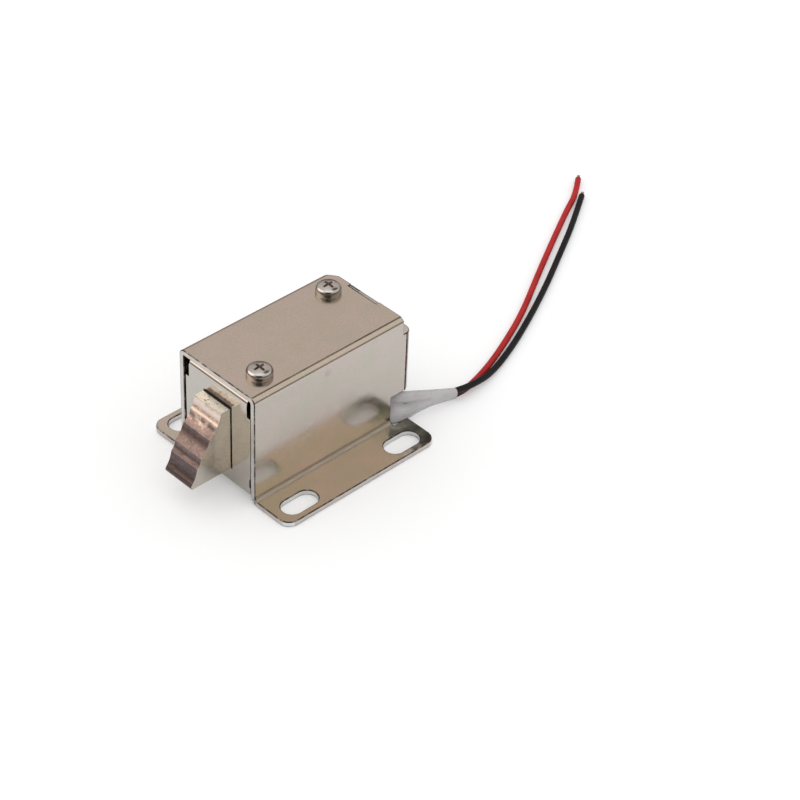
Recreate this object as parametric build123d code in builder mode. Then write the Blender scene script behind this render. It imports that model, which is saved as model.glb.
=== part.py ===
import os
from math import cos, pi, radians, sin, tan

from build123d import *

os.makedirs("parts", exist_ok=True)

# A solenoid lock: a sprung latch bolt in a folded yoke, under a hat-shaped mounting case.
# X runs along the body with the latch towards -X and the leads towards +X, Y runs across it,
# and Z stands up from the mounting face. The origin is the centre of the four slots on that face.
# Every bend radius of a sheet is its inside radius.

# Mounting case, one folded sheet
case_sheet = 1.3
case_length = 41.4
body_width = 22.7
body_height = 27.0
flange_span = 42.7
flange_corner_r = 2.6
flange_bend_r = 0.9
top_bend_r = 0.2
top_setback = 0.9
flap_gap = 6.4
flap_bottom = 7.9
flap_drop = 4.1
flap_bend_r = 0.7
flap_clearance = 1.3
lead_cutout_setback = 3.0
lead_cutout_r = 1.6
lead_cutout_reach = 1.15

# Mounting slots, which run along the body, by their centres' distance from the case's edges
slot_width = 4.75
slot_length = 8.7
slot_end_inset = 6.5
slot_side_inset = 3.85

# Yoke frame, pole plates with their tabs, and fixed core
yoke_sheet = 1.2
yoke_setback = 0.2
yoke_bottom = 1.8
yoke_bend_r = 0.7
yoke_side_gap = 0.3
corner_relief_width = 1.0
corner_relief_depth = 4.6
lower_notch_z = 3.4
lower_notch_height = 2.2
lower_notch_depth = 0.35
pole_sheet = 0.7
tab_width = 5.6
tab_drop = 0.2
tab_centre_y = -1.05
tab_clearance = 0.05
case_notch_clearance = 0.05
case_notch_spare = 2.8
lead_corner_width = 2.85
core_reach = 3.6
core_gap = 0.05
rivet_r = 2.5
rivet_head_r = 3.1
rivet_head_height = 0.9
rivet_edge_r = 0.55

# Latch bolt, whose middle lies a little under the middle of the yoke. Its ramp has ridges,
# given as shares of the ramp's length behind the tip and of the latch's height
axis_drop = 0.25
latch_width = 8.0
latch_height = 15.3
latch_reach = 10.6
latch_clearance = 0.25
latch_tip_r = 0.4
ramp_length = 8.0
ramp_ridges = [(1, 1), (0.869, 0.807), (0.64, 0.66), (0.35, 0.435), (0.219, 0.297), (0.025, 0.065)]
ramp_hollow = 0.28
latch_stop_gap = 0.05
shoulder_overlap = 1.2
shoulder_thickness = 2.0
shoulder_corner_r = 1.0
shank_length = 7.3

# Plunger and its cross pin
plunger_r = 3.8
plunger_stroke = 9.5
plunger_end_gap = 0.1
plunger_chamfer = 0.4
tenon_r = 2.5
tenon_length = 5.5
fit_gap = 0.03
pin_r = 0.8
pin_setback = 2.6

# Return spring
spring_wire = 0.5
spring_clearance = 0.6
spring_turns = 7
spring_spare = 0.65
spring_seat_gap = 0.05

# Coil
bobbin_flange = 1.2
bobbin_side_gap = 0.35
bobbin_top_gap = 0.2
bobbin_corner_r = 2.0
bobbin_tube_wall = 0.9
bobbin_rim = 0.4
bore_clearance = 0.2
tape_thickness = 0.3

# Cover screws, with a pan head and a cross recess
screw_end_inset = 6.3
screw_y = 5.7
screw_r = 1.5
screw_tip = 1.6
screw_hole_r = 1.7
tapped_gap = 0.02
head_r = 2.75
head_height = 1.95
head_side_height = 0.8
crown_r = 2.04
crown_edge_height = 1.68
crown_bulge = 0.07
head_edge_bulge = 0.2
recess_span = 3.0
recess_width = 0.65
recess_depth = 1.2
recess_floor_share = 0.5
recess_lead_in = 0.1

# Leads, the sleeve that they leave by, their splices to the coil and their bare ends
lead_d = 1.4
lead_stack = 1.46
bend_share = 0.45
conductor_d = 0.8
bare_length = 1.3
bare_edge_r = 0.15
splice_length = 6.0
sleeve_wall = 0.2
sleeve_centres = [
    (12.0, -7.95, 5.0),
    (16.9, -8.1, 4.8),
    (20.75, -11.3, 4.1),
    (26.9, -12.85, 3.15),
    (33.3, -13.85, 1.9),
]
sleeve_shares = [0, 0.2, 0.43, 0.71, 1]
sleeve_widths = [2.4, 2.6, 3.2, 2.75, 2.15]
sleeve_heights = [3.6, 4.6, 6.0, 4.7, 3.75]
sleeve_tilts = [0, 0, 0, 5, 15]
red_floor_route = [
    (38.2, -13.35, 0.77),
    (47.0, -10.85, 0.75),
    (56.0, -7.15, 0.75),
    (66.0, -2.45, 0.75),
    (78.8, 5.1, 0.75),
    (91.3, 12.2, 0.75),
    (103.4, 18.9, 0.75),
    (109.6, 21.9, 0.75),
    (114.9, 26.05, 0.75),
]
black_floor_route = [
    (38.6, -14.35, 1.95),
    (45.0, -13.3, 0.93),
    (53.8, -10.2, 0.75),
    (63.6, -5.85, 0.75),
    (76.4, 0.55, 0.75),
    (88.6, 7.45, 0.75),
    (100.3, 14.1, 0.75),
    (110.3, 20.6, 0.75),
]

# Faces that several pieces share, from the front to the rear
case_front_x = -case_length / 2
top_rear_x = case_length / 2 - top_setback
flap_x = top_rear_x + flap_clearance + case_sheet
yoke_front_x = case_front_x + yoke_setback
latch_tip_x = yoke_front_x - latch_reach
shoulder_front_x = yoke_front_x + yoke_sheet + latch_stop_gap
shoulder_back_x = shoulder_front_x + shoulder_thickness
shank_end_x = shoulder_back_x + shank_length
pin_x = shank_end_x - pin_setback
front_plate_x = shoulder_back_x + plunger_stroke + spring_turns * spring_wire + spring_spare
coil_front_x = front_plate_x + pole_sheet
rear_plate_x = top_rear_x - pole_sheet
core_face_x = rear_plate_x - core_reach
plunger_end_x = core_face_x - plunger_stroke - plunger_end_gap

# The same across the body, and upwards
case_inner_y = body_width / 2 - case_sheet
yoke_width = 2 * (case_inner_y - yoke_side_gap)
tab_left_y = tab_centre_y - tab_width / 2
lead_corner_y = lead_corner_width - case_inner_y
web_top = body_height - case_sheet
web_bottom = web_top - yoke_sheet
flap_top = body_height - flap_drop
axis_z = (yoke_bottom + web_bottom) / 2 - axis_drop
latch_bottom = axis_z - latch_height / 2
latch_top = axis_z + latch_height / 2

# Sizes of what fits round the plunger and between the plates
bore_r = plunger_r + bore_clearance
spring_mean_r = plunger_r + spring_clearance + spring_wire / 2
shoulder_width = max(latch_width + 2 * shoulder_overlap, 2 * spring_mean_r + spring_wire)
shoulder_height = latch_height + 2 * shoulder_overlap
coil_length = rear_plate_x - coil_front_x
bobbin_width = 2 * (case_inner_y - bobbin_side_gap)
bobbin_height = 2 * (web_bottom - bobbin_top_gap - axis_z)
bobbin_tube_r = bore_r + bobbin_tube_wall
winding_length = coil_length - 2 * bobbin_flange
tape_r = min(bobbin_width, bobbin_height) / 2 - bobbin_rim
winding_r = tape_r - tape_thickness

# Cover screws: their length, and their places at the front of one side and the rear of the other
screw_length = case_sheet + yoke_sheet + screw_tip
screw_x = case_length / 2 - screw_end_inset
screw_places = [(-screw_x, -screw_y), (screw_x, screw_y)]


def side_plane(y):
    """The plane along the body at y, drawn with X to the right and Z up, facing -Y."""
    return Plane(origin=(0, y, 0), x_dir=(1, 0, 0), z_dir=(0, -1, 0))


def cross_plane(x, z=0.0):
    """The plane across the body at x, drawn with Y to the right and Z up, facing +X."""
    return Plane(origin=(x, 0, z), x_dir=(0, 1, 0), z_dir=(1, 0, 0))


def route_radii(points):
    """One bend radius for each corner of a lead, as large as its two runs allow."""
    radii = []
    for before, corner, after in zip(points, points[1:], points[2:]):
        run_in = Vector(*corner) - Vector(*before)
        run_out = Vector(*after) - Vector(*corner)
        half_turn = radians(run_in.get_angle(run_out)) / 2
        radii.append(bend_share * min(run_in.length, run_out.length) / tan(half_turn))
    return radii


# Mounting case: its section runs from one flange over the top to the other
with BuildPart() as mounting_case:
    with BuildSketch(cross_plane(case_front_x)):
        with BuildLine():
            FilletPolyline(
                (-flange_span / 2, 0),
                (-case_inner_y, 0),
                (-case_inner_y, web_top),
                (case_inner_y, web_top),
                (case_inner_y, 0),
                (flange_span / 2, 0),
                radius=[flange_bend_r + case_sheet, top_bend_r, top_bend_r, flange_bend_r + case_sheet],
            )
            offset(amount=case_sheet, side=Side.LEFT)
        make_face()
    extrude(amount=case_length)
    # The top and the upper walls stop short of the rear
    with BuildSketch(Plane.XY.offset(flap_top)):
        with Locations((top_rear_x, 0)):
            Rectangle(case_length, flange_span, align=(Align.MIN, Align.CENTER))
    extrude(amount=body_height, mode=Mode.SUBTRACT)
    # Each wall turns the rear corner and ends in a flap
    with BuildSketch(Plane.XY.offset(flap_bottom)):
        with BuildLine():
            FilletPolyline(
                (top_rear_x - lead_cutout_setback, -body_width / 2),
                (flap_x, -body_width / 2),
                (flap_x, -flap_gap / 2),
                radius=flap_bend_r + case_sheet,
            )
            offset(amount=case_sheet, side=Side.LEFT)
        make_face()
        mirror(about=Plane.XZ)
    extrude(amount=flap_top - flap_bottom)
    # Flange corners
    flange_corners = (
        mounting_case.edges()
        .filter_by(Axis.Z)
        .filter_by(lambda edge: abs(edge.center().Y) > flange_span / 2 - case_sheet)
    )
    fillet(flange_corners, flange_corner_r)
    # Slots for the mounting screws
    with BuildSketch(Plane.XY):
        with GridLocations(case_length - 2 * slot_end_inset, flange_span - 2 * slot_side_inset, 2, 2):
            SlotOverall(slot_length, slot_width)
    extrude(amount=case_sheet, mode=Mode.SUBTRACT)
    # Cut-out low in the rear of one wall, where the leads come out
    with BuildSketch(side_plane(-case_inner_y + case_sheet)) as lead_cutout:
        with Locations((top_rear_x - lead_cutout_setback, -case_sheet)):
            Rectangle(case_length, flap_bottom + case_sheet, align=(Align.MIN, Align.MIN))
        fillet(lead_cutout.vertices().group_by(Axis.Z)[-1].sort_by(Axis.X)[0], lead_cutout_r)
    extrude(amount=2 * case_sheet + lead_cutout_reach, mode=Mode.SUBTRACT)
    # Notch in the top's rear edge, round the rear pole plate's tab
    with BuildSketch(Plane.XY.offset(web_top)):
        with Locations((rear_plate_x - case_notch_clearance, tab_left_y - case_notch_clearance)):
            Rectangle(
                2 * pole_sheet,
                tab_width + case_notch_clearance + case_notch_spare,
                align=(Align.MIN, Align.MIN),
            )
    extrude(amount=case_sheet, mode=Mode.SUBTRACT)
    # Clearance holes for the two cover screws
    with Locations(*((x, y, body_height) for x, y in screw_places)):
        Hole(screw_hole_r, depth=case_sheet)

# Yoke frame: front plate and web, folded from one strip
with BuildPart() as yoke_frame:
    with BuildSketch(side_plane(yoke_width / 2)):
        with BuildLine():
            FilletPolyline(
                (yoke_front_x, yoke_bottom),
                (yoke_front_x, web_top),
                (top_rear_x, web_top),
                radius=yoke_bend_r + yoke_sheet,
            )
            offset(amount=yoke_sheet, side=Side.RIGHT)
        make_face()
    extrude(amount=yoke_width)
    # Opening for the latch, square relief cuts beside the bend and a small notch low in each edge
    with BuildSketch(cross_plane(yoke_front_x)):
        with Locations((0, axis_z)):
            Rectangle(latch_width + 2 * latch_clearance, latch_height + 2 * latch_clearance)
        with Locations((-yoke_width / 2, lower_notch_z), (yoke_width / 2, lower_notch_z)):
            Rectangle(2 * lower_notch_depth, lower_notch_height, align=(Align.CENTER, Align.MIN))
    extrude(amount=yoke_sheet, mode=Mode.SUBTRACT)
    with BuildSketch(cross_plane(yoke_front_x)):
        with Locations((-yoke_width / 2, web_top), (yoke_width / 2, web_top)):
            Rectangle(2 * corner_relief_width, corner_relief_depth, align=(Align.CENTER, Align.MAX))
    extrude(amount=yoke_bend_r + yoke_sheet, mode=Mode.SUBTRACT)
    # Slots for the tabs of the two pole plates, and tapped holes for the cover screws
    with BuildSketch(Plane.XY.offset(web_bottom)):
        with Locations((front_plate_x + pole_sheet / 2, tab_centre_y)):
            Rectangle(pole_sheet + 2 * tab_clearance, tab_width + 2 * tab_clearance)
        with Locations((rear_plate_x - tab_clearance, tab_centre_y)):
            Rectangle(2 * pole_sheet, tab_width + 2 * tab_clearance, align=(Align.MIN, Align.CENTER))
    extrude(amount=yoke_sheet, mode=Mode.SUBTRACT)
    with Locations(*((x, y, web_top) for x, y in screw_places)):
        Hole(screw_r + tapped_gap, depth=yoke_sheet)

# Front pole plate: the plunger passes through it and the return spring seats on it
with BuildPart() as front_pole_plate:
    with BuildSketch(cross_plane(front_plate_x)):
        with Locations((0, yoke_bottom)):
            Rectangle(yoke_width, web_bottom - yoke_bottom, align=(Align.CENTER, Align.MIN))
        with Locations((tab_centre_y, web_bottom)):
            Rectangle(tab_width, yoke_sheet, align=(Align.CENTER, Align.MIN))
        with Locations((0, axis_z)):
            Circle(bore_r, mode=Mode.SUBTRACT)
    extrude(amount=pole_sheet)

# Rear pole plate: its tab stands in the notch in the case, and a corner is cut for the leads
with BuildPart() as rear_pole_plate:
    with BuildSketch(cross_plane(rear_plate_x)):
        with Locations((0, yoke_bottom)):
            Rectangle(yoke_width, web_bottom - yoke_bottom, align=(Align.CENTER, Align.MIN))
        with Locations((tab_centre_y, web_bottom)):
            Rectangle(tab_width, body_height - tab_drop - web_bottom, align=(Align.CENTER, Align.MIN))
        with Locations((lead_corner_y, flap_bottom)):
            Rectangle(yoke_width, body_height, align=(Align.MAX, Align.MAX), mode=Mode.SUBTRACT)
        with Locations((0, axis_z)):
            Circle(rivet_r + tapped_gap, mode=Mode.SUBTRACT)
    extrude(amount=pole_sheet)

# Fixed core, riveted over behind the rear pole plate
with BuildPart() as fixed_core:
    with BuildSketch(cross_plane(core_face_x, axis_z)):
        Circle(bore_r - core_gap)
    extrude(amount=core_reach)
    with BuildSketch(cross_plane(rear_plate_x, axis_z)):
        Circle(rivet_r)
    extrude(amount=pole_sheet)
    with BuildSketch(cross_plane(top_rear_x, axis_z)):
        Circle(rivet_head_r)
    extrude(amount=rivet_head_height)
    fillet(fixed_core.faces().sort_by(Axis.X)[-1].edges(), rivet_edge_r)

# Latch bolt: the nose with its ramp, a shoulder that stops it and a round shank
with BuildPart() as latch_bolt:
    ridge_points = [
        (latch_tip_x + ramp_length * behind, latch_bottom + latch_height * up) for behind, up in ramp_ridges
    ]
    with BuildSketch(side_plane(latch_width / 2)) as nose:
        with BuildLine():
            Polyline(
                ridge_points[-1],
                (latch_tip_x, latch_bottom),
                (shoulder_front_x, latch_bottom),
                (shoulder_front_x, latch_top),
                ridge_points[0],
            )
            for upper, lower in zip(ridge_points, ridge_points[1:]):
                SagittaArc(upper, lower, ramp_hollow)
        make_face()
        fillet(nose.vertices().sort_by(Axis.X)[0], latch_tip_r)
    extrude(amount=latch_width)
    with BuildSketch(cross_plane(shoulder_front_x, axis_z)):
        RectangleRounded(shoulder_width, shoulder_height, shoulder_corner_r)
    extrude(amount=shoulder_thickness)
    with BuildSketch(cross_plane(shoulder_back_x, axis_z)):
        Circle(plunger_r)
    extrude(amount=shank_length)
    # Blind bore for the plunger's tenon, and the pin's cross hole
    with BuildSketch(cross_plane(shank_end_x, axis_z)):
        Circle(tenon_r + fit_gap)
    extrude(amount=-(tenon_length + fit_gap), mode=Mode.SUBTRACT)
    with BuildSketch(side_plane(plunger_r)):
        with Locations((pin_x, axis_z)):
            Circle(pin_r + fit_gap)
    extrude(amount=2 * plunger_r, mode=Mode.SUBTRACT)

# Plunger, turned down at the front to a tenon
with BuildPart() as plunger:
    with BuildSketch(cross_plane(shank_end_x, axis_z)):
        Circle(plunger_r)
    extrude(amount=plunger_end_x - shank_end_x)
    chamfer(plunger.faces().sort_by(Axis.X)[-1].edges(), plunger_chamfer)
    with BuildSketch(cross_plane(shank_end_x, axis_z)):
        Circle(tenon_r)
    extrude(amount=-tenon_length)
    with BuildSketch(side_plane(plunger_r)):
        with Locations((pin_x, axis_z)):
            Circle(pin_r + fit_gap)
    extrude(amount=2 * plunger_r, mode=Mode.SUBTRACT)

# Cross pin through the shank and the tenon
with BuildPart() as plunger_pin:
    with BuildSketch(side_plane(plunger_r - fit_gap)):
        with Locations((pin_x, axis_z)):
            Circle(pin_r)
    extrude(amount=2 * (plunger_r - fit_gap))

# Return spring, ground flat where it meets the shoulder and the front pole plate
with BuildPart() as return_spring:
    spring_start = shoulder_back_x + spring_seat_gap
    spring_end = front_plate_x - spring_seat_gap
    with BuildLine():
        coil_line = Helix(
            pitch=(spring_end - spring_start) / spring_turns,
            height=spring_end - spring_start,
            radius=spring_mean_r,
            center=(spring_start, 0, axis_z),
            direction=(1, 0, 0),
        )
    with BuildSketch(Plane(origin=coil_line @ 0, z_dir=coil_line % 0)):
        Circle(spring_wire / 2)
    sweep(is_frenet=True)
    split(bisect_by=cross_plane(spring_start), keep=Keep.TOP)
    split(bisect_by=cross_plane(spring_end), keep=Keep.BOTTOM)

# Coil bobbin: a tube between two flanges, with a corner cut from the rear one for the leads
with BuildPart() as coil_bobbin:
    with BuildSketch(cross_plane(coil_front_x, axis_z)):
        Circle(bobbin_tube_r)
    extrude(amount=coil_length)
    with BuildSketch(cross_plane(coil_front_x, axis_z)):
        RectangleRounded(bobbin_width, bobbin_height, bobbin_corner_r)
    extrude(amount=bobbin_flange)
    with BuildSketch(cross_plane(rear_plate_x, axis_z)):
        RectangleRounded(bobbin_width, bobbin_height, bobbin_corner_r)
        with Locations((lead_corner_y, flap_bottom - axis_z)):
            Rectangle(bobbin_width, bobbin_height, align=(Align.MAX, Align.MAX), mode=Mode.SUBTRACT)
    extrude(amount=-bobbin_flange)
    with BuildSketch(cross_plane(coil_front_x, axis_z)):
        Circle(bore_r)
    extrude(amount=coil_length, mode=Mode.SUBTRACT)

# Winding, and the tape round it
with BuildPart() as coil_winding:
    with BuildSketch(cross_plane(coil_front_x + bobbin_flange, axis_z)):
        Circle(winding_r)
        Circle(bobbin_tube_r, mode=Mode.SUBTRACT)
    extrude(amount=winding_length)

with BuildPart() as coil_tape:
    with BuildSketch(cross_plane(coil_front_x + bobbin_flange, axis_z)):
        Circle(tape_r)
        Circle(winding_r, mode=Mode.SUBTRACT)
    extrude(amount=winding_length)


def cover_screw(x, y):
    """A pan-head screw that holds the case to the yoke's web at (x, y)."""
    with BuildPart() as screw:
        with BuildSketch(Plane.XZ):
            with BuildLine():
                Polyline(
                    (head_r, head_side_height),
                    (head_r, 0),
                    (screw_r, 0),
                    (screw_r, -screw_length),
                    (0, -screw_length),
                    (0, head_height),
                )
                SagittaArc((0, head_height), (crown_r, crown_edge_height), crown_bulge)
                SagittaArc((crown_r, crown_edge_height), (head_r, head_side_height), head_edge_bulge)
            make_face()
        revolve(axis=Axis.Z)
        # The recess narrows towards its floor
        with BuildSketch(Plane.XY.offset(head_height + recess_lead_in)):
            Rectangle(recess_span, recess_width)
            Rectangle(recess_width, recess_span)
        with BuildSketch(Plane.XY.offset(head_height - recess_depth)):
            Rectangle(recess_floor_share * recess_span, recess_floor_share * recess_width)
            Rectangle(recess_floor_share * recess_width, recess_floor_share * recess_span)
        loft(ruled=True, mode=Mode.SUBTRACT)
    screw.part.position = (x, y, body_height)
    return screw


cover_screw_front, cover_screw_rear = (cover_screw(x, y) for x, y in screw_places)


def lead_line(points):
    """A lead's or the sleeve's middle: straight runs joined by arcs, as one wire."""
    with BuildLine() as line:
        FilletPolyline(*points, radius=route_radii(points))
    return line.wire()


def sleeve_body(middle, shrink):
    """The sleeve's outline along its middle, each section smaller all round by shrink."""
    with BuildPart() as body:
        for share, width, height, tilt in zip(sleeve_shares, sleeve_widths, sleeve_heights, sleeve_tilts):
            along = middle % share
            section = Plane(origin=middle @ share, x_dir=along.cross(Vector(0, 0, 1)), z_dir=along)
            with BuildSketch(section):
                SlotOverall(height - 2 * shrink, width - 2 * shrink, rotation=90 + tilt)
        sweep(path=middle, multisection=True)
    return body.part


# Sleeve round both leads: flattened, tallest in the cut-out and leaning over towards its mouth
sleeve_middle = lead_line(sleeve_centres)
with BuildPart() as lead_sleeve:
    add(sleeve_body(sleeve_middle, 0))
    add(sleeve_body(sleeve_middle, sleeve_wall), mode=Mode.SUBTRACT)


def lead_route(rise, floor_route):
    """A lead's corners: inside the sleeve, rise along its section from its middle, then over the floor."""
    inside = [
        (x, y - rise * sin(radians(tilt)), z + rise * cos(radians(tilt)))
        for (x, y, z), tilt in zip(sleeve_centres, sleeve_tilts)
    ]
    return inside + floor_route


def lead(route):
    """The insulated lead along its route."""
    middle = lead_line(route)
    with BuildPart() as insulated:
        with BuildSketch(Plane(origin=middle @ 0, z_dir=middle % 0)):
            Circle(lead_d / 2)
        sweep(path=middle)
    filled = insulated.part.volume / (middle.length * pi * (lead_d / 2) ** 2)
    print("lead length", round(middle.length, 2), "volume over section times length", round(filled, 5))
    print("bend radii", [round(radius, 1) for radius in route_radii(route)])
    return insulated


def bare_end(route):
    """The stripped and tinned conductor that stands out of a lead's far end."""
    along = (Vector(*route[-1]) - Vector(*route[-2])).normalized()
    with BuildPart() as conductor:
        with BuildSketch(Plane(origin=route[-1], z_dir=along)):
            Circle(conductor_d / 2)
        extrude(amount=bare_length)
        fillet(conductor.faces().sort_by(SortBy.DISTANCE)[-1].edges(), bare_edge_r)
    return conductor


red_route = lead_route(-lead_stack / 2, red_floor_route)
black_route = lead_route(lead_stack / 2, black_floor_route)
lead_red = lead(red_route)
lead_black = lead(black_route)
lead_tip_red = bare_end(red_route)
lead_tip_black = bare_end(black_route)

# Splices from the leads to the two ends of the winding, lying beside the tape
with BuildPart() as lead_splices:
    for route in (red_route, black_route):
        with BuildSketch(Plane(origin=route[0], z_dir=Vector(*route[0]) - Vector(*route[1]))):
            Circle(lead_d / 2)
        extrude(amount=splice_length)

pieces = {
    "mounting_case": mounting_case,
    "yoke_frame": yoke_frame,
    "front_pole_plate": front_pole_plate,
    "rear_pole_plate": rear_pole_plate,
    "fixed_core": fixed_core,
    "latch_bolt": latch_bolt,
    "plunger": plunger,
    "plunger_pin": plunger_pin,
    "return_spring": return_spring,
    "coil_bobbin": coil_bobbin,
    "coil_winding": coil_winding,
    "coil_tape": coil_tape,
    "cover_screw_front": cover_screw_front,
    "cover_screw_rear": cover_screw_rear,
    "lead_sleeve": lead_sleeve,
    "lead_red": lead_red,
    "lead_black": lead_black,
    "lead_tip_red": lead_tip_red,
    "lead_tip_black": lead_tip_black,
    "lead_splices": lead_splices,
}
for name, piece in pieces.items():
    piece.part.label = name
    export_step(piece.part, f"parts/{name}.step")
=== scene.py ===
from math import cos, pi, radians, sin

import bmesh
import bpy
from mathutils import Matrix, Vector


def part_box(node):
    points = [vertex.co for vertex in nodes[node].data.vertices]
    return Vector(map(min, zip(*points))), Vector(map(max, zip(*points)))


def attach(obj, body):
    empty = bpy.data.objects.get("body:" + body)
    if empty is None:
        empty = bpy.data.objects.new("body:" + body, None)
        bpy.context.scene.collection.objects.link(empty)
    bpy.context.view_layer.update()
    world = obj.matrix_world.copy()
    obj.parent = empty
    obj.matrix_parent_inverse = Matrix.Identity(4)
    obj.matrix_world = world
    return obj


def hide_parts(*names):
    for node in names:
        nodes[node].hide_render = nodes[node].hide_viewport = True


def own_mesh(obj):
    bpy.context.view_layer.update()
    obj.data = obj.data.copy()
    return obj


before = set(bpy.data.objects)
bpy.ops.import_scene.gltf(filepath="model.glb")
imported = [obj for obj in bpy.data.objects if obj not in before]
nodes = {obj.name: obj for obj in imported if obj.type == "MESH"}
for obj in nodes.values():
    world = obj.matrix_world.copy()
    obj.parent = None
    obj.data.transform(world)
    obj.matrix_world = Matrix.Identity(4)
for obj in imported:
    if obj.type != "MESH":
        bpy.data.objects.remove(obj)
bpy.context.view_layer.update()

MM = 0.001

# Camera: its bearing round the object, its height above the horizon and its roll, the distance to the
# origin, how far the origin lies from the middle of the picture, and how near and far it sees
PHOTO_SIDE_PX = 800
FOCAL_PX = 2429.35
SENSOR_MM = 36
CAMERA_YAW = radians(44.593)
CAMERA_PITCH = radians(38.676)
CAMERA_ROLL = radians(2.483)
CAMERA_DISTANCE = 505.17 * MM
CAMERA_RIGHT = 22.06 * MM
CAMERA_UP = 7.37 * MM
CAMERA_CLIP = (0.01, 20)
TO_CAMERA = (
    -cos(CAMERA_YAW) * cos(CAMERA_PITCH),
    -sin(CAMERA_YAW) * cos(CAMERA_PITCH),
    sin(CAMERA_PITCH),
)

# Leads: where they leave the sleeve, their size, and the corners of their routes
LEAD_D = 1.4
RED_LENGTH = 114.2
BLACK_LENGTH = 108.4
RED_ROUTE = [
    (12.0, -7.95, 4.27),
    (16.9, -8.1, 4.07),
    (20.75, -11.3, 3.37),
    (26.9, -12.79, 2.42),
    (33.3, -13.66, 1.19),
    (38.2, -13.35, 0.77),
    (47.0, -10.85, 0.75),
    (56.0, -7.15, 0.75),
    (66.0, -2.45, 0.75),
    (78.8, 5.1, 0.75),
    (91.3, 12.2, 0.75),
    (103.4, 18.9, 0.75),
    (109.6, 21.9, 0.75),
    (114.9, 26.05, 0.75),
]
BLACK_ROUTE = [
    (12.0, -7.95, 5.73),
    (16.9, -8.1, 5.53),
    (20.75, -11.3, 4.83),
    (26.9, -12.91, 3.88),
    (33.3, -14.04, 2.61),
    (38.6, -14.35, 1.95),
    (45.0, -13.3, 0.93),
    (53.8, -10.2, 0.75),
    (63.6, -5.85, 0.75),
    (76.4, 0.55, 0.75),
    (88.6, 7.45, 0.75),
    (100.3, 14.1, 0.75),
    (110.3, 20.6, 0.75),
]

# A face's normal lies along an axis above ALONG and square to it below ACROSS, and two places closer than
# NEAR, in mm, count as the same
ALONG = 0.99
ACROSS = 0.02
NEAR = 0.02

# Outer faces of the case, for telling its sheared edges and its bends from its plated faces: slot walls lie
# farther out than the slot zone and inside the outline by a margin, and the crease has a size and a tilt
CASE_FRONT_X = -20.7
CASE_REAR_X = 20.7
TOP_REAR_X = 19.8
WALL_Y = 11.35
BODY_TOP_Z = 27.0
FLANGE_SIDE_Y = 21.35
FLAP_TOP_Z = 22.9
FLANGE_TOP_Z = 1.3
SLOT_ZONE_Y = 12.6
SLOT_MARGIN = 0.1
CREASE_SIZE = 1.0
CREASE_TILT = (0.05, 0.998)

# Rear corner of the top over the far wall, cut back on a slant, and the wider gap in front of the tab
CORNER_START_Y = 8.3
CORNER_END_Y = 10.7
CORNER_DEPTH = 1.7
NOTCH_X = 19.05
NOTCH_Y = (-4.0, 4.7)
NOTCH_GAP = 0.14

# The tab's shoulder, and how far below its middle the shade on it and beside it goes
SHOULDER_MIDDLE = (19.45, 3.05, 26.25)
SHOULDER_SIZE = (0.66, 2.9, 1.2)
SHOULDER_SHADE_DEPTH = 0.7

# Latch: the ramp's faces lean forward, its colours, its own with painted highlight and shade, run from its
# foot to its top, and its pits darken from the first height down to the second; the land is the flat at its
# top, with painted shade along the front plate
RAMP_LEAN = -0.25
RAMP_FOOT_Z = 5
RAMP_TOP_Z = 21
PITTED_Z = (17.5, 8)
LAND_Z = 20.2
LAND_SHADE_X = -20.95
LAND_SHADE_SOFT = 0.15

# Painted shade on the front plate over the latch: a strip whose ends slant, with the middle and half of its
# length along the slant, its foot, and how soft its ends and foot are and how ragged its top
STRIP_SLANT = 0.877
STRIP_MIDDLE = 18.0
STRIP_HALF = 4.1
STRIP_END_SOFT = 0.5
STRIP_FOOT_Z = 20.8
STRIP_FOOT_SOFT = 0.1
STRIP_RAGGED = 0.35

# Stains and patches of painted shade: full up to the first share of their reach, gone at the second, and
# frayed by the third
STAIN_FULL = 0.3
STAIN_GONE = 1.2
STAIN_FRAYED = 0.3

# Painted dark shade line on sheared edges: where it begins and is full before a corner, and where it fades
# out past it
LINE_BEFORE = (0.26, 0.16)
LINE_PAST = (0.1, 0.2)
TOP_LINE_BEFORE = (0.24, 0.12)

# Noise textures mostly stay in this range
NOISE_LOW = 0.3
NOISE_HIGH = 0.7
DARKER = 0.72

# Cover screws: the cross recess lies within this radius, flat faces count from the first depth under the
# head's top, nothing does below the second, and faces are steep when their normals rise by less than this
RECESS_R = 1.75
RECESS_DEPTHS = (0.4, 1.4)
RECESS_STEEP = 0.9
HEAD_SIDE_STEEP = 0.6

# Clean-up and rounding of the CAD meshes: corners closer than this are one, faces that meet at less than
# the first angle are one, and edges sharper than the second are rounded
WELD = 0.002
FLAT_ANGLE = radians(0.4)
EDGE_ANGLE = radians(28)

# Sleeve: its rings' middles, half widths, half heights and lean in degrees, from inside the case
SLEEVE_RINGS = [
    (12.0, -7.95, 5.0, 1.2, 1.8, 0),
    (14.8, -8.0, 4.8, 1.25, 2.1, 0),
    (16.6, -8.4, 4.3, 1.3, 2.6, -12),
    (17.9, -9.6, 3.8, 1.3, 3.6, -23),
    (19.3, -10.65, 3.75, 1.5, 3.55, -18),
    (20.9, -11.35, 3.72, 1.5, 3.4, -6),
    (23.8, -12.25, 3.86, 1.42, 2.66, 0),
    (26.9, -12.85, 3.45, 1.25, 2.05, 5),
    (30.2, -13.4, 2.7, 1.05, 1.75, 10),
    (33.3, -13.85, 1.9, 0.87, 1.55, 15),
]
SLEEVE_STEPS = 9
SLEEVE_SIDES = 40
SLEEVE_WALL = 0.1
SLEEVE_ROUNDNESS = (0.8, 0.9)

# Fold in the sleeve's near side: where it is deepest, how far along it reaches, its height and spread as
# shares of the half height, and its depth as a share of the half width
FOLD_X = 20.5
FOLD_REACH = 7.0
FOLD_HEIGHT = 0.2
FOLD_SPREAD = 0.3
FOLD_DEPTH = 0.85

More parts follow.
